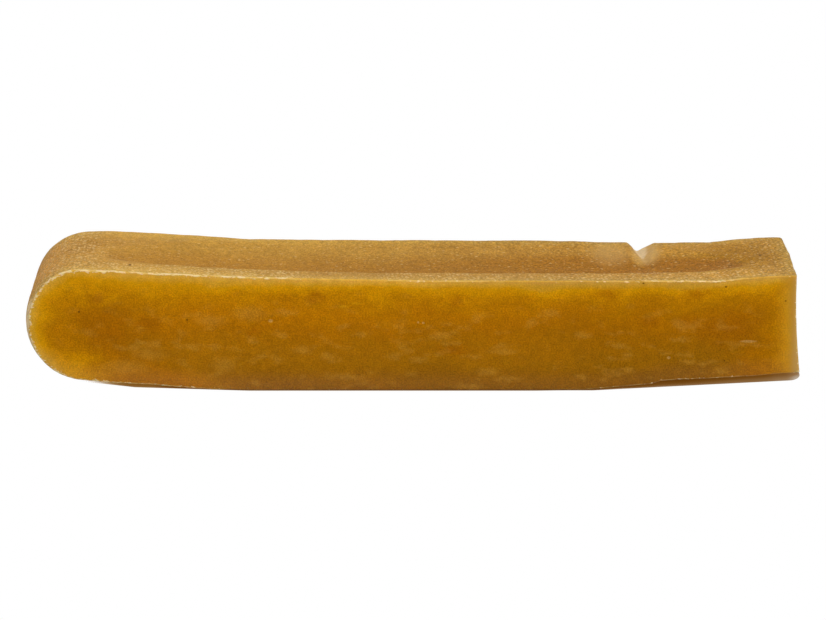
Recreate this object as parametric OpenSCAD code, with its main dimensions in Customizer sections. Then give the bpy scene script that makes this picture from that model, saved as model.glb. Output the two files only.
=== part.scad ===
// Hard cheese chew bar: a strip sawn from a cloth-pressed slab, then smoked and dried.
// One solid piece. X runs along the bar from the rounded rind end (-X) to the sawn
// end (+X), Y from the sawn front face (-Y) to the back, Z up from the flat it lies on.
// The origin is at the middle of the overall box, on that flat.

/* [Bar] */
// Overall length, from the tip of the rounded end to the foot of the sawn end
bar_len = 149.2; // [135:0.2:200]
// Width, from the front sawn face to the back one
bar_w = 27.6; // [22:0.2:36]
// Thickness over the level middle stretch
bar_h = 21.9; // [16:0.1:28]

/* [Rounded end] */
// How far the top has risen where the rounded end begins
nose_rise = 2.2; // [0.8:0.1:4]
// How far the underside has lifted where the rounded end begins
nose_lift = 2.1; // [0.5:0.1:4]
// Length of the rising stretch of the top, from the tip of the rounded end
nose_sweep = 87.2; // [60:0.2:95]
// Length of the underside that is clear of the table, from the tip of the rounded end
nose_curl = 37.2; // [30:0.2:50]
// Radius of the rounded end as seen from above
nose_plan_r = 430; // [60:10:800]
// How far behind the middle of the width the rounded end reaches furthest
nose_crown = 4.5; // [0:0.5:6]

/* [Sawn end] */
// How far the top rises again at the sawn end
tail_rise = 1; // [0.5:0.1:2]
// Length of that rise, from the foot of the sawn end
tail_rise_len = 15.5; // [12:0.5:25]
// How far the foot of the sawn end is clear of the table
tail_lift = 3.6; // [1:0.1:5]
// Length of the underside that is clear of the table, from the foot of the sawn end
tail_curl = 41.4; // [34:0.2:50]
// How much further out the foot of the sawn end is than its top
tail_lean = 1; // [0:0.1:2]
// Depth to which the sawn end has shrunk in
tail_dish = 0.3; // [0.1:0.05:0.6]

/* [Hollow in the top] */
// Depth of the hollow at its deepest, below the level stretch
hollow_depth = 2.2; // [1:0.1:3]
// Width of the front lip at the deepest place
lip_w = 6; // [4:0.1:8]
// Radius of the steep side of the hollow, behind the lip
lip_r = 4.5; // [4:0.5:10]
// Width of the back lip at the deepest place
back_lip_w = 1.2; // [0.6:0.1:3]
// Distance from the tip of the rounded end to the hollow's level stretch
hollow_nose_gap = 69.6; // [64:0.2:72]
// Radius to which the hollow rises towards the rounded end
hollow_nose_r = 364; // [320:2:400]
// Distance from the foot of the sawn end to the hollow's level stretch
hollow_tail_gap = 38.6; // [36:0.2:50]
// Radius to which the hollow rises towards the sawn end
hollow_tail_r = 160; // [150:2:200]

/* [Crack in the back edge] */
// Distance from the foot of the sawn end to the bottom of the crack
crack_gap = 30.3; // [22:0.1:60]
// Depth of the crack at the back face
crack_depth = 1.9; // [1:0.1:3]
// How far the steep side of the crack leans out over its depth
crack_steep = 1.7; // [0.8:0.1:3]
// How far the broken side of the crack leans out over its depth
crack_slant = 3.5; // [2:0.1:5]
// How far the crack runs in from the back face before it fades out
crack_len = 12.5; // [6:0.5:14]
// How far the crack veers towards the sawn end over that length
crack_veer = 1.8; // [0:0.1:2.4]

/* [Flake off the bottom edge] */
// Distance from the foot of the sawn end to the deepest place of the flake
flake_gap = 26.6; // [22:0.1:30]
// Depth of the flake above the underside
flake_depth = 0.5; // [0.2:0.05:0.8]
// Length of the flake's short side, towards the middle of the bar
flake_short = 2; // [1:0.1:3]
// Length of the flake's long side, towards the sawn end
flake_long = 17; // [10:0.5:20]

/* [Hidden] */
$fn = 256;
cut = 5;             // how far a cutting shape runs past what it cuts
tip_x = -bar_len / 2;
foot_x = bar_len / 2;
back_y = bar_w / 2;
nose_top = bar_h + nose_rise;
nose_z = (nose_top + nose_lift) / 2;
nose_ease = 0.1;     // how far the rounding stands off the top and the underside where it starts
nose_r = (nose_top - nose_lift) / 2 + nose_ease;
nose_axis_x = tip_x + nose_plan_r;
nose_half_w = back_y + nose_crown;
// The rounding starts furthest along the bar at the front face.
nose_clear = 1;
join_x = nose_axis_x - sqrt((nose_plan_r - nose_r) ^ 2 - nose_half_w ^ 2) + nose_clear;
level_x = tip_x + nose_sweep;
sweep_r = arc_radius(level_x - join_x, nose_rise);
seat_nose_x = tip_x + nose_curl;
seat_tail_x = foot_x - tail_curl;
crest_x = foot_x - tail_lean;
crest_r = arc_radius(tail_rise_len - tail_lean, tail_rise);
end_chord = norm([tail_lean, bar_h + tail_rise - tail_lift]);
end_dish_r = arc_radius(end_chord / 2, tail_dish);
end_tilt = atan2(tail_lean, bar_h + tail_rise - tail_lift);
// The floor of the hollow is level in the middle and rises in an arc to both ends.
hollow_z = bar_h - hollow_depth;
hollow_a = tip_x + hollow_nose_gap;
hollow_b = foot_x - hollow_tail_gap;
hollow_near = sqrt(2 * lip_r * hollow_depth - hollow_depth ^ 2);
hollow_y = -back_y + lip_w + hollow_near;
hollow_far_r = arc_radius(back_y - back_lip_w - hollow_y, hollow_depth);
crack_x = foot_x - crack_gap;
crack_z = bar_h - crack_depth;
crack_climb = hollow_far_z(crack_x, back_y - crack_len) - crack_z;
flake_x = foot_x - flake_gap;

// Radius of an arc that starts level and rises by `rise` over the distance `run`.
function arc_radius(run, rise) = (run ^ 2 + rise ^ 2) / (2 * rise);
// Rise of an arc of a radius over the distance `run` from where it is level.
function arc_rise(radius, run) = radius - sqrt(radius ^ 2 - run ^ 2);
// Height of the hollow's gentle side at a place behind its deepest line, and towards the
// sawn end from its level stretch.
function hollow_far_z(x, y) = hollow_z
    + arc_rise(hollow_tail_r, max(0, x - hollow_b)) + arc_rise(hollow_far_r, y - hollow_y);
// Height of the lifted underside towards the rounded end, and towards the sawn end.
function nose_lift_z(x) = nose_lift * (seat_nose_x - x) / (seat_nose_x - join_x);
function tail_lift_z(x) = tail_lift * (x - seat_tail_x) / tail_curl;

// The outline of the top seen from the front, with the left end still square.
module top_outline() {
    // rises gently from the level stretch to the rounded end
    difference() {
        translate([tip_x, 0]) square([level_x - tip_x, nose_top + cut]);
        translate([level_x, bar_h + sweep_r]) circle(r = sweep_r);
    }
    translate([level_x, 0]) square([foot_x - level_x, bar_h]);
    // swells over the last stretch before the sawn end
    intersection() {
        translate([crest_x, bar_h + tail_rise - crest_r]) circle(r = crest_r);
        translate([foot_x - tail_rise_len - cut, 0]) square([tail_rise_len + cut, nose_top + cut]);
    }
}

module side_outline() {
    difference() {
        top_outline();
        // both ends have curled up off the table as the bar dried
        polygon([[seat_nose_x, 0], [tip_x - cut, nose_lift_z(tip_x - cut)],
                 [tip_x - cut, -cut], [seat_nose_x, -cut]]);
        polygon([[seat_tail_x, 0], [foot_x + cut, tail_lift_z(foot_x + cut)],
                 [foot_x + cut, -cut], [seat_tail_x, -cut]]);
        polygon([[flake_x - flake_short, tail_lift_z(flake_x - flake_short)],
                 [flake_x, tail_lift_z(flake_x) + flake_depth],
                 [flake_x + flake_long, tail_lift_z(flake_x + flake_long)],
                 [flake_x, tail_lift_z(flake_x) - flake_depth]]);
        // the sawn end leans in towards the top and is slightly hollow
        translate([foot_x, tail_lift]) rotate(end_tilt)
            translate([end_dish_r - tail_dish, end_chord / 2]) circle(r = end_dish_r);
    }
}

// Section of the rounded end, x measured outwards from the axis of its plan radius.
module nose_section() {
    translate([nose_plan_r - nose_r, 0]) circle(r = nose_r);
    translate([nose_r, -nose_r]) square([nose_plan_r - 2 * nose_r, 2 * nose_r]);
}

// What lies outside the rounded end, which is part of a disc with a half-round rim.
module nose_waste() {
    half_angle = atan2(nose_half_w + cut, nose_axis_x - join_x);
    difference() {
        translate([tip_x - cut, -back_y - cut, -cut])
            cube([join_x - tip_x + cut, bar_w + 2 * cut, nose_top + 3 * cut]);
        translate([nose_axis_x, nose_crown, nose_z])
            rotate_extrude(angle = 2 * half_angle, start = 180 - half_angle) nose_section();
    }
}

// Section of the hollow, seen along the bar, from its deepest line: x across, y up.
module hollow_section() {
    // steep behind the lip
    intersection() {
        translate([0, lip_r]) circle(r = lip_r);
        translate([-lip_r, 0]) square(lip_r);
    }
    // gentle up to the back lip
    intersection() {
        translate([0, hollow_far_r]) circle(r = hollow_far_r);
        square([back_y - hollow_y + cut, lip_r]);
    }
}

// The hollow where its floor rises in an arc, from the plane x = 0 to one side of it.
module hollow_rise(radius, side) {
    angle = acos(1 - (nose_top - hollow_z + cut) / radius);
    translate([0, 0, radius]) rotate([-90, 0, 0])
        rotate_extrude(angle = angle, start = side < 0 ? 90 : 90 - angle)
            translate([radius, 0]) rotate(90) hollow_section();
}

// The top has shrunk into a long shallow hollow, deepest behind the front lip.
module hollow() {
    translate([hollow_a, hollow_y, hollow_z]) {
        hollow_rise(hollow_nose_r, -1);
        rotate([90, 0, 90]) linear_extrude(hollow_b - hollow_a) hollow_section();
        translate([hollow_b - hollow_a, 0, 0]) hollow_rise(hollow_tail_r, 1);
    }
}

// A crack in the back edge: steep on one side, broken out on the other, fading forwards.
module crack() {
    reach = 2;       // the cutting shape stands this many times the depth of the crack
    translate([crack_x, back_y, crack_z])
        rotate([90 - atan2(crack_climb, crack_len), 0, atan2(crack_veer, crack_len)])
            translate([0, 0, -cut]) linear_extrude(crack_len + 2 * cut)
                polygon(reach * [[0, 0], [crack_slant, crack_depth], [-crack_steep, crack_depth]]);
}

module chew_bar() {
    color("goldenrod")
        difference() {
            rotate([90, 0, 0]) linear_extrude(bar_w, center = true) side_outline();
            nose_waste();
            hollow();
            crack();
        }
}

chew_bar();
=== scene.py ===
"""Looks of a hard cheese chew bar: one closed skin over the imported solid, with its rind,
its sawn faces, its chipped edges and its crack, on a plain white floor."""
import functools
import math

import bpy
import numpy as np
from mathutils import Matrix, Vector, noise
from mathutils.bvhtree import BVHTree


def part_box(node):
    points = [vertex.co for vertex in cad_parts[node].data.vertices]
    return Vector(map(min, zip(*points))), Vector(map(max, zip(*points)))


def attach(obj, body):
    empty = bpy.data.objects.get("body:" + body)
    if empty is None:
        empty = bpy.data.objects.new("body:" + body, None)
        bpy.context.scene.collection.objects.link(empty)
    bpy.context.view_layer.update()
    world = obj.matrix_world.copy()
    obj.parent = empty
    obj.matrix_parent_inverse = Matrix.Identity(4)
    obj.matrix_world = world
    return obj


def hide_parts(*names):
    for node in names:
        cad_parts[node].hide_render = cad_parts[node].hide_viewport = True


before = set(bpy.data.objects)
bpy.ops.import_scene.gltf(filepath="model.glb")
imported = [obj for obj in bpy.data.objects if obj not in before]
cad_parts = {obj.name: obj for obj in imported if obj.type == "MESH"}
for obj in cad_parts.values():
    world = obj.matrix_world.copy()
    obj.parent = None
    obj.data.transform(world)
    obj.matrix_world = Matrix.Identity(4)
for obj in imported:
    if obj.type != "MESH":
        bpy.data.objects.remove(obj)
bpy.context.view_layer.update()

NODE = "chew_bar"
LOW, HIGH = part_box(NODE)
MM = 0.001
MID_Z = 0.5 * (LOW.z + HIGH.z)
FAR = 50 * MM                # a distance well outside the bar

# ================================================================== the grid of the skin
NOSE_STEPS = 40              # stations round each half of the rounded end
BODY_STEPS = 410             # stations along the rest of the bar, above and below
END_STEPS = 20               # stations up the sawn end, and rows up the two sawn sides
BAND_STEPS = 64              # rows across the bar, from one broken edge to the other
EDGE_STEPS = 3               # rows over each broken edge
CORNER = NOSE_STEPS + BODY_STEPS         # the station at the foot of the sawn end
TOP_CORNER = CORNER + END_STEPS          # the station at its top
STATIONS = TOP_CORNER + CORNER

# ================================================================== how the solid is felt
NOSE_R = 11.0 * MM           # about the radius of the rounded end
NOSE_UP = 1 * MM             # how far above the middle height its rounding is felt from
TOP_SEARCH = 2 * MM          # how far in from the foot the height of the sawn end is felt
INSET = 0.02 * MM            # how far inside a corner the solid is felt for

# ================================================================== sizes of the wear
EDGE_R = 0.25 * MM           # how far a sawn edge is broken
EDGE_HALF = 0.25 * math.pi * EDGE_R      # half the way over a broken edge
CREST_STEPS = 3              # smoothing steps that round the lip
# Corners that are eased along the bar, as (smoothing steps, stations over which they fade).
CORNER_WEAR = (6, 5)         # the sawn end's far top corner
CRACK_WEAR = (1, 12)         # the rims of the crack
NOSE_WEAR = (30, 7)          # the corner under the rounded end
NOSE_CORNER = 35             # the station of that last corner
NOSE_EDGE = 0.8 * MM         # how far the rounded end's front edge has pulled back
NOSE_EDGE_W = 3.5 * MM       # width of that edge
# How much higher the back edge of the top has dried than the CAD, as (x, rise) in mm.
BACK_RISE = ((-75, -0.1), (-66, -0.05), (-60, 0.3), (-44, 0.3), (-34, 0.0), (-26, 0.05),
             (-6, 0.4), (26, 0.45), (38, 0.1), (50, 0.0), (75, 0.1))
RISE_Z = HIGH.z - 2 * MM     # the height from which the whole of that rise counts
# How much lower the underside near the rounded end has dried than the CAD, in the same way.
NOSE_SAG = ((-70, 0.0), (-67, 0.05), (-64.5, 0.22), (-61, 0.28), (-57, 0.25), (-49, 0.0))
SAG_Z = 4 * MM               # the height up to which the whole of that sag counts
# Waves and roughness, as (height, length of one wave).
SWELL = (0.11 * MM, 9 * MM)  # long waves of the dried rind
RIPPLE = (0.05 * MM, 2.2 * MM)           # short waves of the dried rind
BREAK = (0.12 * MM, 0.9 * MM)            # the crack's walls
CHIP = (0.25 * MM, 1.5 * MM)             # chips over the sawn edges, at their worst
END_WAVES = 0.4              # how much of the rind's waves the sawn end has
SEAT_WAVES = 0.3             # how much of them the flat it lies on has, all of it upwards
SEAT_Z = 0.3 * MM            # the height up to which the underside counts as that flat
CHIP_REACH = 3               # stations over which chips fade to the sawn end's corners
CHIP_POWER = 1.5             # how much rarer deep chips are than shallow ones
SAW_DEPTH = 0.05 * MM        # how far the saw wandered
SAW_WAVE = (1.0, 14 * MM)    # its waves, as (share of that, length)
SAW_RIPPLE = (0.25, 3 * MM)  # and the weaker ones over them
DISH_POWER = 12              # how fast the sawn end's hollow line evens out along the sides

# ================================================================== the crack, from the box
CRACK_X = HIGH.x - 30.3 * MM
CRACK_HALF = 4.5 * MM        # more than the crack's half width


# ================================================================== the skin's shape
def solid_tree():
    """The CAD solid as a tree to cast rays at."""
    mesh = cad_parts[NODE].data
    points = [v.co.copy() for v in mesh.vertices]
    return BVHTree.FromPolygons(points, [tuple(p.vertices) for p in mesh.polygons])


TREE = solid_tree()


def feel(x, y, z, dx, dz):
    """Where a ray meets the solid, in the plane of constant y."""
    place = TREE.ray_cast(Vector((x, y, z)), Vector((dx, 0, dz)))[0]
    return place.x, place.z


def outline(y):
    """The solid's outline at one y, as x and z: from the tip of the rounded end along the
    underside, up the sawn end and back along the top."""
    nose_z = MID_Z + NOSE_UP
    tip_x = feel(-FAR * 2, y, nose_z, 1, 0)[0]
    nose_x = tip_x + NOSE_R
    foot_x = HIGH.x - INSET
    foot_z = feel(foot_x, y, -FAR, 0, 1)[1]
    near_top = feel(HIGH.x - TOP_SEARCH, y, FAR, 0, -1)[1]
    top_x = feel(FAR * 2, y, near_top - INSET, -1, 0)[0] - INSET
    top_z = feel(top_x, y, FAR, 0, -1)[1]
    under, top = [(tip_x, nose_z)], [(tip_x, nose_z)]
    for i in range(1, NOSE_STEPS):
        turn = 0.5 * math.pi * i / NOSE_STEPS
        across, up = -math.cos(turn), math.sin(turn)
        under.append(feel(nose_x, y, nose_z, across, -up))
        top.append(feel(nose_x, y, nose_z, across, up))
    for share in np.arange(BODY_STEPS) / BODY_STEPS:
        under.append(feel(nose_x + (foot_x - nose_x) * share, y, -FAR, 0, 1))
        top.append(feel(nose_x + (top_x - nose_x) * share, y, FAR, 0, -1))
    under.append((foot_x, foot_z))
    top.append((top_x, top_z))
    heights = foot_z + (top_z - foot_z) * np.arange(1, END_STEPS) / END_STEPS
    end = [feel(FAR * 2, y, z, -1, 0) for z in heights]
    return np.array(under + end + top[:0:-1])


def smooth(grid, axis, times, loop=False):
    """Rounds a grid of points along one of its axes. An axis that isn't a loop keeps its ends."""
    for _ in range(times):
        mean = 0.25 * np.roll(grid, 1, axis) + 0.5 * grid + 0.25 * np.roll(grid, -1, axis)
        if not loop:
            keep = [slice(None)] * grid.ndim
            for end in (0, -1):
                keep[axis] = end
                mean[tuple(keep)] = grid[tuple(keep)]
        grid = mean
    return grid


def ramp(value, start, end):
    """0 up to start and 1 from end on, smooth between."""
    share = np.clip((value - start) / (end - start), 0, 1)
    return share * share * (3 - 2 * share)


def from_table(place, table):
    """The value at each place along the bar, from a table of (place in mm, value)."""
    return np.interp(place / MM, *zip(*table))


def waves(points, size, octaves, seed):
    """Smooth noise from about -1 to 1 at each point, in waves of about the given size."""
    shift = Vector((7.31, 3.17, 5.53)) * seed
    flat = points.reshape(-1, 3) / size
    values = [noise.fractal(Vector(p) + shift, 1.0, 2.0, octaves) for p in flat]
    return np.array(values).reshape(points.shape[:-1])


def rough(points, kind, octaves, seed):
    """The same noise for one kind of wave, given as (height, length)."""
    height, length = kind
    return height * waves(points, length, octaves, seed)


def normals(grid):
    """Outward normals of the band."""
    along = np.roll(grid, -1, 0) - np.roll(grid, 1, 0)
    normal = np.cross(np.gradient(grid, axis=1), along)
    return normal / np.linalg.norm(normal, axis=2, keepdims=True)


def near(station, reach):
    """A bump of 1 at one station, which fades over about the given number of stations."""
    return np.exp(-((np.arange(STATIONS) - station) / reach) ** 2)


def eased(grid, wear, station, share=1.0):
    """The band rounded along the bar round one station. share is how much of it each row gets."""
    steps, reach = wear
    share = near(station, reach)[:, None] * share
    return grid + (smooth(grid, 0, steps, loop=True) - grid) * share[..., None]


def felt_band(rows):
    """The solid's own surface on the band's stations and rows, with its corners eased."""
    grid = np.array([[(x, y, z) for x, z in outline(y)] for y in rows]).transpose(1, 0, 2)
    grid = smooth(grid, 1, CREST_STEPS)
    grid = eased(grid, CORNER_WEAR, TOP_CORNER, ramp(rows, 0, HIGH.y))
    crack = TOP_CORNER + np.argmin(np.abs(grid[TOP_CORNER:, -1, 0] - CRACK_X))
    grid = eased(grid, CRACK_WEAR, crack)
    return eased(grid, NOSE_WEAR, NOSE_CORNER)


def dried(grid):
    """The band as it has warped in drying: the rounded end's front edge has pulled back, the
    back edge of the top has risen and the underside near the rounded end has sagged."""
    x, y, z = grid[..., 0], grid[..., 1], grid[..., 2]
    across = np.clip((LOW.y + NOSE_EDGE_W - y) / NOSE_EDGE_W, 0, 1)
    pull = NOSE_EDGE * (1 - np.sqrt(1 - across ** 2))
    grid[..., 0] += pull * ramp(-x, -(LOW.x + NOSE_R), -LOW.x)
    rise = from_table(x, BACK_RISE) * MM * ramp(y, 0, HIGH.y)
    grid[..., 2] += rise * ramp(z, MID_Z, RISE_Z)
    grid[..., 2] -= from_table(x, NOSE_SAG) * MM * ramp(-z, -MID_Z, -SAG_Z)
    return grid


def weathered(grid):
    """The band with the waves of dried rind, which leave the seat and the sawn end flatter."""
    lift = rough(grid, SWELL, octaves=2, seed=1) + rough(grid, RIPPLE, octaves=2, seed=2)
    lift[CORNER + 1:TOP_CORNER] *= END_WAVES
    lift = np.where(grid[..., 2] < SEAT_Z, SEAT_WAVES * np.minimum(lift, 0), lift)
    lift += crack_share(grid) * rough(grid, BREAK, octaves=3, seed=3)
    return grid + normals(grid) * lift[..., None]


def chip_depth(ring):
    """How far each station of an edge is chipped, over its plain rounding."""
    worst, length = CHIP
    share = np.clip(waves(ring, length, octaves=3, seed=5), 0, 1) ** CHIP_POWER
    calm = 1 - np.maximum(near(CORNER, CHIP_REACH), near(TOP_CORNER, CHIP_REACH))
    return EDGE_R + worst * share * calm


def with_edges(grid):
    """The band with rows over its two broken edges, down to the planes of the sawn sides."""
    inward = -normals(grid)
    inward[..., 1] = 0
    inward /= np.linalg.norm(inward, axis=2, keepdims=True)
    rings = {}
    for side, row in ((-1, 0), (1, -1)):
        depth = chip_depth(grid[:, row])
        rings[side] = []
        for k in range(EDGE_STEPS):
            turn = 0.5 * math.pi * k / EDGE_STEPS
            ring = grid[:, row] + inward[:, row] * ((1 - math.sin(turn)) * depth)[:, None]
            ring[:, 1] += side * math.cos(turn) * EDGE_R
            rings[side].append(ring)
    return np.stack(rings[-1] + list(grid.transpose(1, 0, 2)) + rings[1][::-1], axis=1)


def side_face(ring, seed):
    """The inner points of a sawn side, as (column, row, xyz), inside its ring of stations."""
    under, end = ring[:CORNER + 1], ring[CORNER:TOP_CORNER + 1]
    top = np.concatenate([ring[:1], ring[:TOP_CORNER - 1:-1]])
    share = np.linspace(0, 1, END_STEPS + 1)[None, :, None]
    face = under[:, None] * (1 - share) + top[:, None] * share
    bulge = end - (end[0] * (1 - share[0]) + end[-1] * share[0])
    fade = np.linspace(0, 1, CORNER + 1) ** DISH_POWER
    face = (face + bulge[None] * fade[:, None, None])[1:-1, 1:-1]
    wander = rough(face, SAW_WAVE, octaves=2, seed=seed)
    wander += rough(face, SAW_RIPPLE, octaves=2, seed=seed + 1)
    face[..., 1] -= np.sign(ring[0, 1]) * np.clip(0.5 - wander, 0, 1.5) * SAW_DEPTH
    return face


# ================================================================== what the looks are told
# How chipped the front face's top edge and bottom edge are, as (x in mm, share).
TOP_CHIPS = ((-75, 0.95), (-66, 0.8), (-60, 0.95), (-38, 0.95), (-24, 0.8), (-19, 0.1),
             (-9, 0.0), (-5, 0.5), (14, 0.5), (20, 0.15), (34, 0.35), (44, 0.5), (50, 0.85),
             (60, 0.85), (66, 0.15), (75, 0.5))
BOTTOM_CHIPS = ((-75, 0.95), (-62, 0.8), (-47, 0.75), (-36, 0.3), (20, 0.1), (36, 0.45),
                (54, 0.45), (75, 0.25))
BACK_CHIPS = 0.45            # how chipped the back face's edges are, in the mean
BACK_CHIPS_VARY = (0.4, 12 * MM)         # how much that varies, and over what length
# How much less light the underside lets in, as (way along it from the tip, depth that it
# counts as) in mm.
UNDER_DELAY = ((10.5, 0), (14.5, 1.0), (19, 4.5), (29, 8.5), (54, 22))
NOSE_GLOW = 0.4 * MM         # how much narrower the pale rim is round the rounded end
NOSE_CLEAR = 0.3             # how much further light reaches in by the rounded end
NOSE_CLEAR_X = (LOW.x + 45 * MM, LOW.x + 10 * MM)     # from none of that to all of it
LEAST_HOLLOW = 0.3 * MM      # less than this isn't taken for a hollow's whole depth
# The hollow's colour is painted shade, darker where the hollow is deeper.
HOLLOW_SHOWS = 0.5 * MM      # the depth from which the hollow's colour shows in full
CRACK_SHOWS = (0.08 * MM, 1.1 * MM)      # the same for the crack, from none to all of it


def strip_place(grid):
    """How far each point of the band lies from the rounded end's tip, along the outline: up
    over the top above 0, down under the bar below 0."""
    steps = np.linalg.norm(np.diff(grid, axis=0, append=grid[:1]), axis=2)
    under = -np.cumsum(steps[:TOP_CORNER], axis=0)
    over = np.cumsum(steps[:TOP_CORNER - 1:-1], axis=0)[::-1]
    return np.concatenate([np.zeros_like(steps[:1]), under[:-1], over])


def hollow_share(grid):
    """How deep each point of the band lies in the hollow of the top, from 0 to 1, as a share
    of the hollow's depth at that station. It fades out to both ends of the hollow."""
    across = (grid[..., 1] - LOW.y) / (HIGH.y - LOW.y)
    height = grid[..., 2]
    front, back = height[:, EDGE_STEPS, None], height[:, -1 - EDGE_STEPS, None]
    depth = np.maximum(front * (1 - across) + back * across - height, 0)
    deepest = depth.max(axis=1, keepdims=True)
    share = depth / np.maximum(deepest, LEAST_HOLLOW) * ramp(deepest, 0, HOLLOW_SHOWS)
    share[:TOP_CORNER] = 0
    return share


def crack_share(grid):
    """1 on the crack's broken walls, 0 on the rind beside them."""
    height = grid[..., 2]
    share = np.zeros_like(height)
    for row in range(grid.shape[1]):
        x, z = grid[TOP_CORNER:, row, 0], height[TOP_CORNER:, row]
        away = np.abs(x - CRACK_X)
        inside, beside = away < CRACK_HALF, (away > CRACK_HALF) & (away < 3 * CRACK_HALF)
        sound = np.polyval(np.polyfit(x[beside], z[beside], 2), x)
        share[TOP_CORNER:, row] = ramp(np.where(inside, sound - z, 0), *CRACK_SHOWS)
    return share


def nearest(points, ring, delay=0.0):
    """How far each point lies from a ring, seen from the side, with a delay at each station."""
    flat = points.reshape(-1, 3)[:, (0, 2)]
    reach = [np.min(np.linalg.norm(ring[:, (0, 2)] - p, axis=1) + delay) for p in flat]
    return np.array(reach).reshape(points.shape[:-1])


def glow_depth(points, ring):
    """How far a point of a sawn side lies from the light that soaks in at the top and the
    rounded end. The underside lets less in, the further it is from the rounded end."""
    delay = np.zeros(STATIONS)
    run = np.cumsum(np.linalg.norm(np.diff(ring[:CORNER + 1], axis=0), axis=1))
    delay[1:CORNER + 1] = from_table(run, UNDER_DELAY) * MM
    delay[CORNER:TOP_CORNER] = 0
    delay += NOSE_GLOW * (1 - ramp(ring[:, 0], LOW.x + NOSE_R, LOW.x + 2 * NOSE_R))
    clear = NOSE_CLEAR * ramp(-points[..., 0], -NOSE_CLEAR_X[0], -NOSE_CLEAR_X[1])
    return nearest(points, ring, delay) * (1 - clear)


def gap_to_sides(y):
    """How far each point of the band lies from the middle of the nearer broken edge."""
    rows = np.arange(y.shape[1])
    steps = np.minimum(rows, rows[::-1]) / EDGE_STEPS
    over = np.abs(np.minimum(steps, 1) - 0.5) * 2 * EDGE_HALF
    return over + np.maximum(np.minimum(y - LOW.y, HIGH.y - y) - EDGE_R, 0)


def chip_share(grid):
    """How chipped the edge beside each point of the band is."""
    x = grid[..., 0]
    front = from_table(x, TOP_CHIPS)
    front[:CORNER] = from_table(x[:CORNER], BOTTOM_CHIPS)
    back = BACK_CHIPS + rough(grid, BACK_CHIPS_VARY, octaves=1, seed=9)
    return np.where(grid[..., 1] < 0, front, back)


def band_looks(grid):
    """The values that the materials read, on the band. strip is its place, laid out flat."""
    x, y, z = grid[..., 0], grid[..., 1], grid[..., 2]
    on_end = np.zeros((STATIONS, 1), bool)
    on_end[CORNER:TOP_CORNER + 1] = True
    from_foot, from_top = z - z[CORNER], z[TOP_CORNER] - z
    side_gap = gap_to_sides(y)
    end_gap = np.where(on_end, np.minimum(from_foot, from_top), np.abs(x - x[TOP_CORNER]))
    front, back = (glow_depth(grid[:, row], grid[:, row])[:, None] for row in (0, -1))
    glow = np.where(on_end, np.minimum(from_top, side_gap), np.where(y < 0, front, back))
    return {"edge_gap": np.maximum(np.minimum(side_gap, end_gap), 0) / MM,
            "glow_depth": glow / MM, "chips": chip_share(grid),
            "hollow": hollow_share(grid), "crack": crack_share(grid),
            "strip": np.stack([strip_place(grid) / MM, y / MM, np.zeros_like(y)], axis=2)}


def side_looks(face, ring, chips):
    """The same values on a sawn side's inner points."""
    zero = np.zeros(face.shape[:2])
    shares = np.linspace(0, 1, END_STEPS + 1)[1:-1]
    under = chips[1:CORNER]
    top = chips[:TOP_CORNER:-1][:len(under)]
    return {"edge_gap": (nearest(face, ring) + EDGE_HALF) / MM,
            "glow_depth": glow_depth(face, ring) / MM,
            "chips": np.where(shares[None] < 0.5, under[:, None], top[:, None]),
            "hollow": zero, "crack": zero, "strip": face / MM}


# ================================================================== the mesh
def cells(numbers):
    """The four-cornered faces between the vertices of a grid."""
    corners = [numbers[:-1, :-1], numbers[1:, :-1], numbers[1:, 1:], numbers[:-1, 1:]]
    return np.stack(corners, axis=2).reshape(-1, 4)


def band_faces(index):
    """The band's faces, and which of them are sawn: the broken edges and the sawn end."""
    rind = np.ones((STATIONS, index.shape[1] - 1), bool)
    rind[CORNER:TOP_CORNER] = False
    rind[:, :EDGE_STEPS] = rind[:, -EDGE_STEPS:] = False
    return cells(np.concatenate([index, index[:1]]))[:, ::-1], ~rind.reshape(-1)


def side_numbers(index, row, first):
    """The vertex numbers of one sawn side's columns and rows, its ring included."""
    numbers = np.empty((CORNER + 1, END_STEPS + 1), int)
    inner = np.arange((CORNER - 1) * (END_STEPS - 1)).reshape(CORNER - 1, -1)
    numbers[1:-1, 1:-1] = first + inner
    numbers[:, 0] = index[:CORNER + 1, row]
    numbers[1:, -1] = index[:TOP_CORNER - 1:-1, row]
    numbers[0] = index[0, row]
    numbers[-1] = index[CORNER:TOP_CORNER + 1, row]
    return numbers


def skin_surfaces():
    """The band round the bar and its two sawn sides, each as its grid of points, its faces,
    which of them are sawn, and the values that the materials read."""
    rows = np.linspace(LOW.y + EDGE_R, HIGH.y - EDGE_R, BAND_STEPS + 1)
    grid = with_edges(weathered(dried(felt_band(rows))))
    index = np.arange(grid.shape[0] * grid.shape[1]).reshape(grid.shape[:2])
    looks = band_looks(grid)
    surfaces = [(grid, *band_faces(index), looks)]
    first = index.size
    for row, seed in ((0, 11), (-1, 21)):
        ring = grid[:, row]
        face = side_face(ring, seed)
        quads = cells(side_numbers(index, row, first))
        first += face[..., 0].size
        surfaces.append((face, quads if row == 0 else quads[:, ::-1], np.ones(len(quads), bool),
                         side_looks(face, ring, looks["chips"][:, row])))
    return surfaces


def in_line(grids):
    """The points or values of several grids, one after another."""
    return np.concatenate([grid.reshape(-1, *grid.shape[2:]) for grid in grids])


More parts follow.
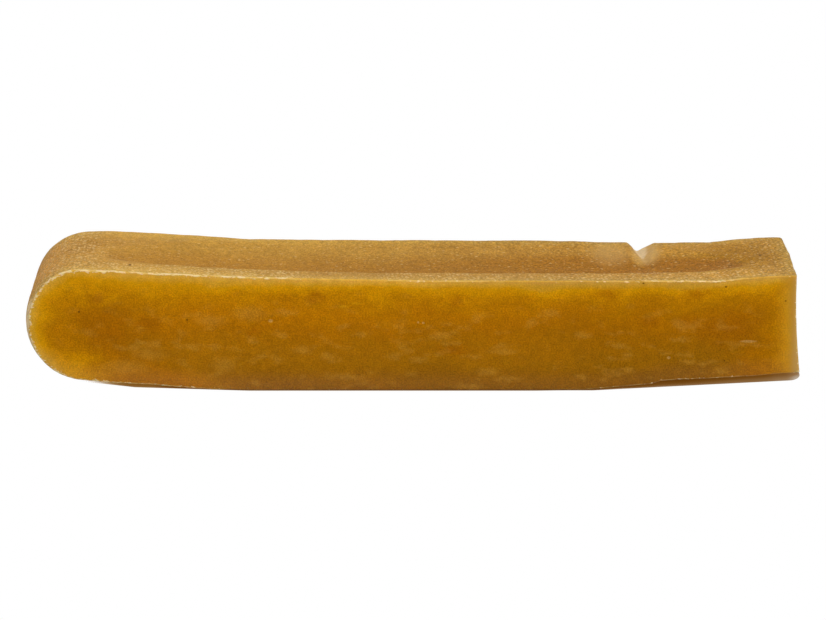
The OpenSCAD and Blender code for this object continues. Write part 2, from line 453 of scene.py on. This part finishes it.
def skin_mesh():
    """The whole skin as one closed mesh. A quad with a corner given twice becomes a triangle."""
    points, quads, sawn, looks = zip(*skin_surfaces())
    polygons = [[int(q[i]) for i in range(4) if q[i] != q[i - 1]] for q in np.concatenate(quads)]
    mesh = bpy.data.meshes.new("chew_bar_skin")
    mesh.from_pydata(in_line(points).tolist(), [], polygons)
    mesh.polygons.foreach_set("material_index", np.concatenate(sawn).astype(int))
    mesh.polygons.foreach_set("use_smooth", np.ones(len(polygons), bool))
    for name in looks[0]:
        values = in_line([look[name] for look in looks])
        kind, field = ("FLOAT", "value") if values.ndim == 1 else ("FLOAT_VECTOR", "vector")
        mesh.attributes.new(name, kind, "POINT").data.foreach_set(field, values.reshape(-1))
    mesh.update()
    return mesh


# ================================================================== shader nodes
class Nodes:
    """A new material's shader nodes, by short names. Places are in millimetres."""

    def __init__(self, name):
        self.material = bpy.data.materials.new(name)
        self.material.use_nodes = True
        self.tree = self.material.node_tree
        self.shader = self.tree.nodes["Principled BSDF"]
        place = self.add("TexCoord").outputs["Object"]
        self.place = self.scaled(place, (1 / MM,) * 3)
        self.x, self.y, self.z = self.apart(self.place)

    def add(self, kind, inputs=None, **settings):
        node = self.tree.nodes.new("ShaderNode" + kind)
        for name, value in settings.items():
            setattr(node, name, value)
        for socket, value in (inputs or {}).items():
            self.put(node.inputs[socket], value)
        return node

    def put(self, socket, value):
        """Links a socket to another node's output, or sets it to a number or a colour."""
        if isinstance(value, bpy.types.NodeSocket):
            self.tree.links.new(value, socket)
        elif socket.type == "RGBA":
            socket.default_value = (*value, 1)
        else:
            socket.default_value = value

    def told(self, name, output="Fac"):
        """One of the values that the mesh carries."""
        return self.add("Attribute", attribute_name=name).outputs[output]

    def math(self, operation, *values):
        return self.add("Math", dict(enumerate(values)), operation=operation).outputs[0]

    def minus(self, first, second):
        return self.math("SUBTRACT", first, second)

    def plus(self, *values):
        return functools.reduce(functools.partial(self.math, "ADD"), values)

    def times(self, *values):
        return functools.reduce(functools.partial(self.math, "MULTIPLY"), values)

    def most(self, *values):
        return functools.reduce(functools.partial(self.math, "MAXIMUM"), values)

    def scaled(self, place, factors):
        return self.add("VectorMath", {0: place, 1: factors}, operation="MULTIPLY").outputs[0]

    def shifted(self, place, step):
        return self.add("VectorMath", {0: place, 1: step}, operation="ADD").outputs[0]

    def length(self, vector):
        return self.add("VectorMath", {0: vector}, operation="LENGTH").outputs["Value"]

    def apart(self, vector):
        return self.add("SeparateXYZ", {"Vector": vector}).outputs

    def between(self, value, low, high, at_low=0.0, at_high=1.0):
        """at_low up to low and at_high from high on, smooth between. low may be the larger."""
        inputs = {"Value": value, "From Min": low, "From Max": high, "To Min": at_low,
                  "To Max": at_high}
        return self.add("MapRange", inputs, interpolation_type="SMOOTHSTEP").outputs["Result"]

    def noise(self, place, size, detail=2.0, stretch=(1, 1, 1), rough=0.5):
        """Cloudy noise around 0.5, in clouds of about the given size, stretched by factors."""
        factors = tuple(1 / (size * s) for s in stretch)
        inputs = {"Vector": self.scaled(place, factors), "Scale": 1.0, "Detail": detail,
                  "Roughness": rough}
        return self.add("TexNoise", inputs).outputs["Fac"]

    def spots(self, place, spots, rim=0.4):
        """1 in the middle of each ellipsoid, given as (centre, half sizes), and 0 outside."""
        reach = []
        for centre, halves in spots:
            step = self.shifted(place, tuple(-c for c in centre))
            reach.append(self.length(self.scaled(step, tuple(1 / h for h in halves))))
        nearest_spot = functools.reduce(functools.partial(self.math, "MINIMUM"), reach)
        return self.between(nearest_spot, 1.0, rim)

    def mix(self, share, first, second, blend="MIX"):
        """The first colour where the share is 0 and the second where it is 1. The Mix node's
        sockets for colours are its inputs 6 and 7 and its output 2."""
        node = self.add("Mix", data_type="RGBA", blend_type=blend)
        for socket, value in ((0, share), (6, first), (7, second)):
            self.put(node.inputs[socket], value)
        return node.outputs[2]

    def tinted(self, colour, tint, share=1.0):
        """The colour multiplied by a tint."""
        return self.mix(share, colour, tint, "MULTIPLY")

    def shade(self, colour, value, dark, light):
        """The colour darkened where a noise value is low and lightened where it is high."""
        return self.tinted(colour, self.between(value, 0.3, 0.7, dark, light))

    def bands(self, value, stops):
        """A colour for each value, from (value, colour) stops."""
        low, high = stops[0][0], stops[-1][0]
        share = self.add("MapRange", {"Value": value, "From Min": low, "From Max": high})
        node = self.add("ValToRGB", {"Fac": share.outputs["Result"]})
        ends = node.color_ramp.elements
        for at, colour in stops[1:-1]:
            ends.new((at - low) / (high - low)).color = (*colour, 1)
        ends[0].color = (*stops[0][1], 1)
        ends[-1].color = (*stops[-1][1], 1)
        return node.outputs["Color"]

    def finish(self, colour, roughness, height, distance, constants):
        """The finished material. height is its relief, which stands up by the distance."""
        bump = self.add("Bump", {"Height": height, "Distance": distance})
        values = {"Base Color": colour, "Roughness": roughness, "Normal": bump.outputs[0]}
        for name, value in {**values, **constants}.items():
            self.put(self.shader.inputs[name], value)
        return self.material


# ================================================================== colours
def tone(red, green, blue):
    """A colour given as it looks on a screen, from 0 to 255, as the shader's linear values."""
    return tuple(((c / 255 + 0.055) / 1.055) ** 2.4 if c > 10 else c / 255 / 12.92
                 for c in (red, green, blue))


def grey(value):
    return (value,) * 3


WHITE = grey(1.0)
CHIP_WHITE = tone(224, 198, 146)
TIP_WHITE = tone(252, 222, 165)
EDGE_LINE = tone(212, 176, 104)
DARK_SPECK = tone(70, 38, 6)

RIND_TANS = (tone(175, 128, 45), tone(189, 142, 55))
RIM_TAN = tone(196, 153, 65)             # the rind close to its edges
LIT_TAN = tone(211, 164, 71)             # the same near the rounded end
CLOTH_PALE = tone(238, 206, 140)         # the cloth's dashes
DUST = tone(194, 156, 92)                # beside the crack

BLOTCH = tone(148, 84, 2)
CURD = tone(186, 136, 46)
CURD_PALE = tone(206, 166, 92)           # its small streaks
GOLD = tone(204, 146, 12)
OLD_CUT = tone(170, 123, 38)             # the sawn faces near the sawn end
OLD_RIM = tone(182, 150, 90)             # their last two millimetres, and that end itself
GREY_FOOT = tone(165, 118, 105)         # the sawn faces along their bottom edges

# The rind's tone along the bar, and the painted shade of the hollow along the bar, from x in mm.
RIND_FADE = ((-75.0, (1.5, 1.28, 0.95)), (-70.5, (1.46, 1.25, 0.96)), (-67.0, (1.2, 1.1, 1.0)),
             (-64.0, (1.08, 1.02, 1.0)), (-45.0, WHITE), (10.0, (0.92, 0.9, 1.0)),
             (40.0, (0.94, 0.9, 0.95)), (60.0, (1.05, 0.99, 0.8)), (75.0, (0.98, 0.95, 0.88)))
HOLLOW_SHADE_TONES = ((-60.0, tone(173, 122, 36)), (-35.0, tone(171, 118, 32)),
                (0.0, tone(158, 107, 28)), (35.0, tone(153, 99, 13)),
                (55.0, tone(149, 94, 3)), (75.0, tone(146, 95, 20)))
# The crack's walls, from their rims to their depth, with a painted highlight along the crease at
# the bottom.
CRACK_WALLS_AND_HIGHLIGHT = ((0.0, tone(192, 150, 84)), (0.7, tone(196, 156, 94)), (1.0, tone(216, 188, 144)))
# The sawn face, from the depth in mm that its light has come through.
GLOW = ((0.0, tone(198, 152, 62)), (0.6, tone(200, 151, 44)), (1.4, tone(199, 141, 8)),
        (2.4, tone(188, 128, 2)), (3.4, tone(177, 117, 2)), (5.0, tone(169, 109, 2)),
        (7.0, tone(167, 105, 2)), (9.4, tone(158, 98, 3)), (11.8, tone(153, 97, 4)),
        (14.2, tone(151, 97, 6)), (16.6, tone(147, 95, 7)), (18.6, tone(139, 89, 8)),
        (21.5, tone(133, 85, 9)))
# How light the sawn faces are against the bands of their glow, from x in mm.
FACE_FADE = ((-75.0, grey(1.0)), (-70.0, grey(1.06)), (-64.0, grey(1.0)), (-52.0, grey(1.0)),
             (-41.0, grey(1.16)), (-31.0, grey(1.12)), (-10.0, grey(1.08)), (0.0, grey(1.02)),
             (17.0, grey(1.05)), (27.0, grey(1.01)), (36.0, grey(0.92)), (56.0, grey(0.92)),
             (66.0, grey(0.89)), (75.0, grey(0.95)))
TOP_EDGE_FADE = (0.83, 0.83, 0.86)       # how dull the top edge is from the middle on


# ================================================================== marks, in mm
def on_front(*spots):
    """Spots on the front face, 1.5 deep, given as (x, z, half length, half height)."""
    return [((x, LOW.y / MM, z), (length, 1.5, height)) for x, z, length, height in spots]


CURD_PATCHES = on_front(
    (32.8, 11.0, 2.6, 1.1), (39.7, 8.9, 2.0, 1.0), (32.5, 2.6, 2.2, 0.9), (5.6, 11.0, 3.6, 1.5),
    (-36.0, 5.0, 3.6, 2.3), (-21.0, 8.1, 2.8, 1.4), (-16.2, 6.8, 2.2, 1.1),
    (-42.2, 8.7, 2.0, 1.3), (-52.0, 9.6, 2.4, 1.0), (53.0, 5.6, 2.0, 0.9), (41.4, 4.1, 2.2, 0.9),
    (59.6, 3.7, 2.0, 0.8), (17.2, 7.8, 4.2, 1.0), (26.6, 15.4, 3.0, 1.2), (-55.0, 4.6, 6.5, 2.2),
    (-50.5, 7.2, 4.8, 2.2), (-31.0, 15.4, 5.0, 2.4), (14.6, 3.7, 3.5, 1.2), (1.3, 6.2, 2.5, 1.0),
    (18.3, 2.3, 4.0, 0.8), (-24.0, 15.6, 3.4, 1.2), (-38.5, 14.0, 4.5, 2.0),
    (-13.0, 2.6, 5.0, 1.0), (-9.7, 11.2, 1.8, 1.0), (51.4, 10.1, 2.6, 1.0),
    (-53.2, 8.6, 1.8, 1.4))
CURD_STREAKS = on_front(
    (64.6, 9.8, 2.1, 0.35), (49.4, 6.5, 0.5, 0.4), (-27.1, 13.9, 0.6, 0.45),
    (1.2, 13.6, 0.3, 0.3), (2.2, 13.5, 0.35, 0.3))
DARK_BLOTCHES = on_front(
    (46.0, 13.6, 3.4, 2.0), (-59.0, 13.2, 8.5, 7.0), (-18.5, 18.4, 3.0, 2.0),
    (-30.5, 11.6, 2.0, 1.2), (60.0, 12.5, 9.0, 6.0), (8.0, 8.0, 5.0, 1.8), (37.3, 19.2, 4.5, 1.7),
    (53.0, 13.6, 5.0, 2.6), (54.5, 19.2, 4.5, 1.7), (-50.5, 13.4, 4.6, 2.2),
    (-60.5, 18.2, 4.2, 1.9), (8.6, 18.0, 2.8, 2.0))
GOLD_STREAKS = on_front((-13.0, 16.8, 1.7, 0.4), (-10.6, 17.4, 1.7, 0.4))
SAW_LINES = on_front((-62.0, 8.4, 0.14, 3.4), (-61.2, 8.8, 0.12, 3.0), (-60.2, 9.4, 0.12, 2.2),
                     (-59.1, 7.6, 0.12, 1.8))
FRONT_SPECKS = on_front(
    (-63.8, 15.7, 0.28, 0.28), (-43.1, 14.1, 0.26, 0.3), (44.3, 21.4, 0.3, 0.22),
    (60.1, 20.7, 0.35, 0.25), (71.6, 17.9, 0.25, 0.2), (60.1, 5.9, 0.25, 0.2))
# On the rind, as (centre, half sizes).
TOP_SPECKS = [((67.8, 1.1, 22.8), (0.35, 0.7, 1)), ((-54.2, -8.9, 23.6), (0.35, 0.8, 1)),
              ((-17.0, -8.0, 21), (0.3, 0.7, 2)), ((-13.5, -6.5, 21), (0.3, 0.6, 2)),
              ((-9.4, -7.8, 21), (0.35, 0.7, 2)), ((-21.0, -7.5, 21), (0.25, 0.6, 2))]
# Dark spots on the rind, as (spots, colour): a rosy-brown patch near the sawn end, and painted
# shade on the lip below the crack's end.
DARK_PATCH_AND_CRACK_SHADE = (([((63.0, 1.5, 22.0), (15.0, 12.0, 6.0))], tone(160, 110, 14)),
              ([((46.0, -8.4, 22.0), (3.4, 1.7, 3.0))], tone(160, 111, 40)))
CRACK_DUST = [((46.0, 9.5, 21.0), (4.0, 9.0, 5.0))]
CRACK_BLOOM = [((39.0, 8.5, 21.0), (6.0, 8.0, 5.0))]


# ================================================================== the sawn edges
def edge_chips(n):
    """The broken white line along a sawn edge. It is widest at the rounded end."""
    ragged = n.noise(n.place, 0.7, 3, stretch=(1.0, 0.5, 0.5), rough=0.6)
    widening = n.between(n.x, -54, -68, n.between(n.x, -15, -35, 0.8, 1.0), 1.6)
    width = n.times(n.minus(ragged, 0.28), widening)
    line = n.between(n.minus(n.told("edge_gap"), width), 0.06, -0.06)
    start = n.minus(0.76, n.times(n.told("chips"), 0.36))
    excess = n.minus(n.noise(n.place, 0.8, 2, stretch=(1.3, 0.6, 0.6)), start)
    return n.times(line, n.between(excess, 0.0, 0.08))


def edge_line(n):
    """The thin pale line of dried crumb along a sawn edge, stronger where it is chipped."""
    line = n.between(n.told("edge_gap"), 0.26, 0.1, 0.0, 0.75)
    worn = n.between(n.noise(n.place, 2.0, 3), 0.36, 0.56, 0.25, 1.0)
    return n.times(line, worn, n.between(n.told("chips"), 0.15, 0.75))


def faded(n, colour):
    """The colour as it is along the top edge, which is duller from the bar's middle on and
    dullest in a thin rim near the sawn end."""
    gap = n.told("edge_gap")
    wide = n.times(n.between(n.x, -5, 25), n.between(gap, 3.0, 0.2), n.between(n.z, 14, 17),
                   n.between(n.x, 54, 64, 1.0, 0.5))
    rim = n.times(n.between(n.x, 52, 60), n.between(gap, 0.6, 0.25),
                  n.between(n.z, 14, 17, 0.0, 1.4))
    return n.tinted(colour, TOP_EDGE_FADE, n.most(wide, rim))


# ================================================================== the rind
def rind_tone(n):
    """The rind's colour without its grain: tan, with painted shade in the hollow, paler by the
    edges.
    """
    gap = n.told("edge_gap")
    colour = n.mix(n.between(n.noise(n.place, 7, 3), 0.3, 0.7), *RIND_TANS)
    colour = n.tinted(colour, n.bands(n.x, RIND_FADE))
    # the second of these is painted shade on the lip below the crack's end
    for spot, dark in DARK_PATCH_AND_CRACK_SHADE:
        colour = n.mix(n.spots(n.place, spot, 0.3), colour, dark)
    # painted shade in the hollow, darker where it is deeper
    deep = n.times(n.told("hollow"), n.between(n.x, -10, 45, 1.0, 1.4),
                   n.between(n.x, 56, 67, 1.0, 0.5))
    colour = n.mix(n.between(deep, 0.35, 1.0, 0.0, 0.95), colour, n.bands(n.x, HOLLOW_SHADE_TONES))
    colour = n.mix(n.between(gap, 3.4, 0.2, 0.0, 0.7), colour, RIM_TAN)
    colour = faded(n, colour)
    lit = n.times(n.between(n.x, -15, -50), n.between(gap, 6.5, 0.5, 0.0, 0.6))
    return n.mix(lit, colour, LIT_TAN)


def grained(n, colour, grain, end):
    """The rind's colour with its grain, which is coarser where end is 1 and grows coarser
    towards the sawn end."""
    colour = n.shade(colour, grain, 0.78, 1.18)
    coarse = n.shade(colour, n.noise(n.place, 0.45, 3, rough=0.7), 0.54, 1.20)
    colour = n.mix(n.times(end, 0.9), colour, coarse)
    coarse = n.shade(colour, n.noise(n.place, 0.5, 3, rough=0.6), 0.68, 1.27)
    colour = n.mix(n.between(n.x, -45, 60, 0.35, 1.0), colour, coarse)
    return n.shade(colour, n.noise(n.place, 1.1, 2), 0.90, 1.08)


def cloth_dashes(n, strip, pressed, size, chance):
    """Pale dashes in rows along the outline, where the cloth's threads pressed in. pressed is
    1 where they are dense and 0 where they are rare."""
    bend = n.add("CombineXYZ", {"Y": n.times(n.noise(n.place, 2.0, 2), 0.9)}).outputs[0]
    place = n.scaled(n.shifted(strip, bend), (0.55 / size, 1 / size, 1.0))
    cloth = n.add("TexVoronoi", {"Vector": place, "Scale": 1.0}, feature="F1")
    dash = n.between(cloth.outputs["Distance"], 0.46, 0.16)
    drawn = n.add("SeparateColor", {"Color": cloth.outputs["Color"]}).outputs[0]
    missing = n.minus(1.0 - 0.25 * chance, n.times(pressed, 0.75 * chance))
    return n.times(dash, n.between(n.minus(drawn, missing), 0.0, 0.15))


def cloth_print(n, strip, nose_end, tail_end):
    """The dashes of the cloth, densest on the rounded end and along the front lip."""
    front_lip = n.times(n.between(n.y, -6.8, -8.4), n.between(n.told("chips"), 0.0, 0.8, 0.4, 1.0))
    pressed = n.most(front_lip, nose_end, n.times(tail_end, 0.35))
    dash = n.most(cloth_dashes(n, strip, pressed, 0.5, 0.75),
                  cloth_dashes(n, n.shifted(strip, (3.7, 1.9, 0.0)), pressed, 0.32, 0.6))
    return n.times(dash, n.between(pressed, 0.0, 1.0, n.between(n.x, 10, 60, 0.32, 0.5), 0.72))


def pitted(n, colour):
    """The colour with the dark pits of the hollow and the specks on the top."""
    pits = n.times(n.between(n.noise(n.place, 0.45, 2), 0.36, 0.26),
                   n.between(n.told("hollow"), 0.3, 0.9))
    pits = n.most(pits, n.spots(n.place, TOP_SPECKS))
    return n.mix(n.times(pits, 0.75), colour, DARK_SPECK)


def cracked(n, colour):
    """The colour with the crack's pale broken walls, a painted highlight along their crease, and
    the dust beside them.
    """
    dust = n.most(n.times(n.spots(n.place, CRACK_DUST, 0.2), 0.85),
                  n.times(n.spots(n.place, CRACK_BLOOM, 0.2), 0.4))
    colour = n.mix(dust, colour, DUST)
    crack = n.told("crack")
    broken = n.shade(n.bands(crack, CRACK_WALLS_AND_HIGHLIGHT), n.noise(n.place, 0.8, 3), 0.88, 1.06)
    return n.mix(n.between(crack, 0.0, 0.3, 0.0, 0.9), colour, broken)


def white_tip(n):
    """1 on the front rim of the rounded end's tip, which is dried nearly white."""
    return n.times(n.between(n.x, -71.5, -73.6), n.between(n.z, 19.5, 16.5),
                   n.between(n.y, 0, -5), n.between(n.told("edge_gap"), 2.4, 0.9))


def rind_material():
    """The dried outside: matte tan, printed by the cloth that the cheese was pressed in."""
    n = Nodes("rind")
    strip = n.told("strip", "Vector")
    run = n.math("ABSOLUTE", n.apart(strip)[0])
    nose_end, tail_end = n.between(run, 26, 15), n.between(run, 138, 156)
    grain = n.noise(n.place, 0.32, 3, rough=0.7)
    dash = cloth_print(n, strip, nose_end, tail_end)
    tip, chips = white_tip(n), edge_chips(n)

    colour = grained(n, rind_tone(n), grain, n.most(nose_end, tail_end))
    colour = n.mix(dash, colour, CLOTH_PALE)
    colour = cracked(n, pitted(n, colour))
    worn = n.between(n.noise(n.place, 0.9, 2), 0.3, 0.6, 0.6, 1.0)
    colour = n.mix(n.times(tip, worn), colour, TIP_WHITE)
    colour = n.mix(edge_line(n), colour, EDGE_LINE)
    colour = n.mix(chips, colour, n.mix(tip, CHIP_WHITE, TIP_WHITE))

    relief = n.plus(n.times(grain, 0.8), n.times(dash, 0.5),
                    n.times(n.noise(n.place, 1.3, 2), 0.5), n.times(chips, 0.5))
    roughness = n.between(grain, 0.3, 0.7, 0.75, 0.6)
    return n.finish(colour, roughness, relief, 0.16 * MM, {
        "Specular IOR Level": 0.15, "Subsurface Weight": 0.12, "Subsurface Scale": 1.5 * MM,
        "Subsurface Radius": (1.0, 0.5, 0.15)})


# ================================================================== the sawn faces
def sawn_tone(n, glow):
    """The amber of the sawn faces, golden where light comes through and deeper further in."""
    drift = n.noise(n.place, 5.5, 3, stretch=(1.6, 1.0, 1.0))
    drift = n.times(n.minus(drift, 0.5), n.between(glow, 0.3, 4, 0.8, 9.0))
    colour = n.bands(n.plus(glow, drift), GLOW)
    face = n.tinted(colour, n.bands(n.x, FACE_FADE))
    return faded(n, n.mix(n.between(glow, 1.5, 6.0), colour, face))


def curdled(n, colour, glow):
    """The colour with its dark blotches, the soft patches of curd and the golden streaks."""
    wander = n.add("TexNoise", {"Vector": n.place, "Scale": 0.9, "Detail": 3.0}).outputs["Color"]
    ragged = n.shifted(n.place, n.scaled(n.shifted(wander, (-0.5,) * 3), (2.6, 0.0, 2.0)))
    colour = n.mix(n.times(n.spots(ragged, DARK_BLOTCHES, 0.1), 0.55), colour, BLOTCH)
    curd = n.noise(n.place, 2.2, 3, stretch=(1.6, 1.0, 0.9))
    scattered = n.times(n.between(curd, 0.53, 0.75), n.between(glow, 3, 9, 0.1, 0.3))
    patches = n.times(n.spots(ragged, CURD_PATCHES, 0.1), 0.32)
    colour = n.mix(n.most(scattered, patches), colour, CURD)
    colour = n.mix(n.times(n.spots(n.place, CURD_STREAKS), 0.4), colour, CURD_PALE)
    return n.mix(n.times(n.spots(n.place, GOLD_STREAKS, 0.2), 0.45), colour, GOLD)


def aged(n, colour, glow):
    """The colour drier by the sawn end and paler and greyer along the bottom edge, with its saw
    lines and specks."""
    old = n.times(n.between(n.x, 69.0, 74.0), n.between(glow, 0.0, 2.5, 1.0, 0.6))
    colour = n.mix(old, colour, OLD_CUT)
    colour = n.mix(n.between(n.x, 72.4, 74.2, 0.0, 0.6), colour, OLD_RIM)
    # a paler, greyer band along the bottom edge of the sawn faces
    greyest = n.between(n.x, -40, 20, 0.09, 0.05)
    foot = n.times(n.between(n.told("edge_gap"), 4.5, 0.3, 0.0, greyest), n.between(n.z, 9, 7))
    colour = n.mix(foot, colour, GREY_FOOT)
    colour = n.mix(n.times(n.spots(n.place, SAW_LINES), 0.16), colour, DARK_SPECK)
    return n.mix(n.times(n.spots(n.place, FRONT_SPECKS), 0.8), colour, DARK_SPECK)


def sawn_material():
    """The sawn faces: satin, translucent amber, golden near the top and the rounded end, with
    soft pale patches of curd."""
    n = Nodes("sawn_face")
    glow, chips = n.told("glow_depth"), edge_chips(n)
    grain = n.noise(n.place, 0.3, 3, rough=0.7)

    colour = curdled(n, sawn_tone(n, glow), glow)
    colour = n.shade(colour, n.noise(n.place, 1.3, 2), 0.93, 1.07)
    colour = n.mix(n.between(glow, 0.0, 3.0, 0.5, 1.0), colour, n.shade(colour, grain, 0.69, 1.26))
    colour = aged(n, colour, glow)
    colour = n.mix(edge_line(n), colour, EDGE_LINE)
    colour = n.mix(chips, colour, CHIP_WHITE)

    relief = n.plus(n.times(n.noise(n.place, 1.6, 3), 0.6), n.times(chips, 0.8),
                    n.times(grain, 0.25))
    roughness = n.between(n.noise(n.place, 2.5, 3), 0.3, 0.7, 0.42, 0.54)
    return n.finish(colour, roughness, relief, 0.06 * MM, {
        "Specular IOR Level": 0.24, "Specular Tint": (1.0, 0.62, 0.04),
        "Subsurface Weight": 0.3, "Subsurface Scale": 3 * MM,
        "Subsurface Radius": (1.0, 0.45, 0.08)})


def make_skin():
    mesh = skin_mesh()
    skin = bpy.data.objects.new("chew_bar_skin", mesh)
    bpy.context.scene.collection.objects.link(skin)
    mesh.materials.append(rind_material())
    mesh.materials.append(sawn_material())
    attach(skin, "root")
    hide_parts(NODE)


# ================================================================== the floor
FLOOR_SIZE = 8.0
FLOOR_BOUNCE = 0.5           # how much light the floor throws back
SKY_REACH = 20 * MM          # how far away the bar still shades the floor
SKY_SAMPLES = 48             # rays that feel for it
# How far light from the front reaches in under the bar, in mm: not even to the front edge in
# the middle, and further the higher the ends are raised.
MIDDLE_REACH = (15, 30, -1.2, -0.55)     # (x, x, reach up to the first, from the second on)
END_REACHES = ((-39.0, -0.1), (-49.5, -0.36), (38.2, 0.165))     # (x of the start, per mm of x)
# How much the open sky counts, as (x, x, factor up to the first, factor from the second on).
SKY_COUNTS = ((-62, -54.5, 3.2, 1.0), (-66, -62.5, 2.0, 1.0), (45, 74, 1.0, 0.3))
TAIL_LIGHT = (50, 66, 0.0, 0.04)         # light that is added under the sawn end
FOOT_SHADE = (70.5, 73.5, 1.0, 0.74)     # and how much of it is left below the very foot
# The rounded corner in which the shade under the sawn end ends, in mm.
SHADE_END_X, SHADE_LENGTH = 73.4, 2.4    # where it starts and how long it is
SHADE_FRONT, SHADE_WIDTH = 4.1, 4.0      # the same across, from how far light reaches in
# The shade under the bar, from closed in to open, and what it is near the rounded end.
SHADE = ((0.0, tone(92, 50, 5)), (0.06, tone(116, 73, 20)), (0.12, tone(146, 112, 72)),
         (0.19, tone(196, 184, 168)), (0.25, WHITE), (1.0, WHITE))
NOSE_SHADE = ((0.0, tone(122, 80, 28)), (0.06, tone(132, 90, 36)), (0.12, tone(160, 127, 80)),
              (0.19, tone(200, 178, 148)), (0.25, WHITE), (1.0, WHITE))


def seeing_rays(tree):
    """1 for the rays that see the background: the eye's, straight, mirrored and refracted."""
    path = tree.nodes.new("ShaderNodeLightPath").outputs
    seeing = path["Is Camera Ray"]
    for kind in ("Is Glossy Ray", "Is Transmission Ray"):
        either = tree.nodes.new("ShaderNodeMath")
        either.operation = "MAXIMUM"
        tree.links.new(seeing, either.inputs[0])
        tree.links.new(path[kind], either.inputs[1])
        seeing = either.outputs[0]
    return seeing


def past_reach(n, behind):
    """How far a place lies past the line to which light from the front reaches in."""
    reach = n.between(n.x, *MIDDLE_REACH)
    for start, slope in END_REACHES:
        reach = n.most(reach, n.times(n.minus(n.x, start), slope))
    return n.minus(behind, reach)


def beyond_corner(n, past):
    """1 outside the rounded corner of the shade under the sawn end, and 0 inside it."""
    out = n.math("DIVIDE", n.minus(n.x, SHADE_END_X), SHADE_LENGTH)
    ahead = n.math("DIVIDE", n.minus(SHADE_FRONT, past), SHADE_WIDTH)
    corner = n.add("CombineXYZ", {"X": n.most(out, 0.0), "Y": n.most(ahead, 0.0)}).outputs[0]
    return n.between(n.length(corner), 0.88, 1.12)


def openness(n):
    """How open the floor is to light: 0 right under the bar, 1 away from it."""
    sky = n.add("AmbientOcclusion", {"Distance": SKY_REACH}, samples=SKY_SAMPLES).outputs["AO"]
    behind = n.minus(n.y, LOW.y / MM)
    past = past_reach(n, behind)
    tail = n.between(n.x, 45, 60)
    light = n.times(sky, *(n.between(n.x, *count) for count in SKY_COUNTS))
    light = n.times(n.plus(light, n.between(n.x, *TAIL_LIGHT)), n.between(n.x, *FOOT_SHADE))
    deeper = n.times(tail, n.between(past, 2.0, 4.5, 0.0, 0.25))
    nearer = n.times(tail, n.between(past, 3.5, 0.2, 0.0, 0.025))
    light = n.plus(n.times(light, n.minus(1.0, deeper)), nearer)
    contact = n.most(n.between(behind, -1.1, -0.2, 1.0, 0.22), n.between(behind, 0.0, 1.0))
    return n.most(n.times(light, contact), beyond_corner(n, past), n.between(sky, 0.55, 0.8))


def make_floor():
    """A white floor. It is plain white to the eye but for the shade close under the bar, which
    the bar's own colour warms, and it throws back half of the light."""
    bpy.ops.mesh.primitive_plane_add(size=FLOOR_SIZE)
    floor = bpy.context.object
    floor.name = "floor"
    n = Nodes("floor")
    light = openness(n)
    colour = n.mix(n.between(n.x, -46, -51), n.bands(light, SHADE), n.bands(light, NOSE_SHADE))
    seen = n.add("Emission", {"Color": colour}).outputs[0]
    lit = n.add("BsdfDiffuse", {"Color": grey(FLOOR_BOUNCE)}).outputs[0]
    mixed = n.add("MixShader", {0: seeing_rays(n.tree), 1: lit, 2: seen}).outputs[0]
    n.tree.links.new(mixed, n.tree.nodes["Material Output"].inputs["Surface"])
    floor.data.materials.append(n.material)


# ================================================================== light and camera
SKY = 0.45                   # strength of the even light all round
EYE_FIELD = math.radians(11.835)         # how wide the camera sees
EYE_TILT = math.radians(16.5)            # how far it looks down
EYE_AWAY = 0.778             # its distance from what it is aimed at
EYE_AIM = Vector((0.22, 0, 12.0)) * MM


def make_world():
    """Dim, even light all round. The eye sees it white."""
    world = bpy.data.worlds.new("studio")
    world.use_nodes = True
    tree = world.node_tree
    strength = tree.nodes.new("ShaderNodeMapRange")
    strength.inputs["To Min"].default_value = SKY
    tree.links.new(seeing_rays(tree), strength.inputs["Value"])
    tree.links.new(strength.outputs["Result"], tree.nodes["Background"].inputs["Strength"])
    tree.nodes["Background"].inputs["Color"].default_value = (*WHITE, 1)
    bpy.context.scene.world = world


def make_lamp(name, place, size, energy):
    """A square lamp that points at the origin."""
    lamp = bpy.data.lights.new(name, "AREA")
    lamp.energy = energy
    lamp.size = size
    box = bpy.data.objects.new(name, lamp)
    box.location = place
    box.rotation_euler = box.location.to_track_quat("Z", "Y").to_euler()
    bpy.context.scene.collection.objects.link(box)


def make_camera():
    """A view square to the front side, from a little above it."""
    camera = bpy.data.cameras.new("camera")
    camera.lens = camera.sensor_width / (2 * math.tan(EYE_FIELD / 2))
    view = bpy.data.objects.new("camera", camera)
    view.location = EYE_AIM + EYE_AWAY * Vector((0, -math.cos(EYE_TILT), math.sin(EYE_TILT)))
    view.rotation_euler = (EYE_AIM - view.location).to_track_quat("-Z", "Y").to_euler()
    bpy.context.scene.collection.objects.link(view)
    bpy.context.scene.camera = view


make_skin()
make_floor()
make_world()
make_lamp("softbox", place=(0.15, -0.42, 0.52), size=0.5, energy=4.1)
make_camera()
bpy.context.scene.view_settings.view_transform = "Standard"
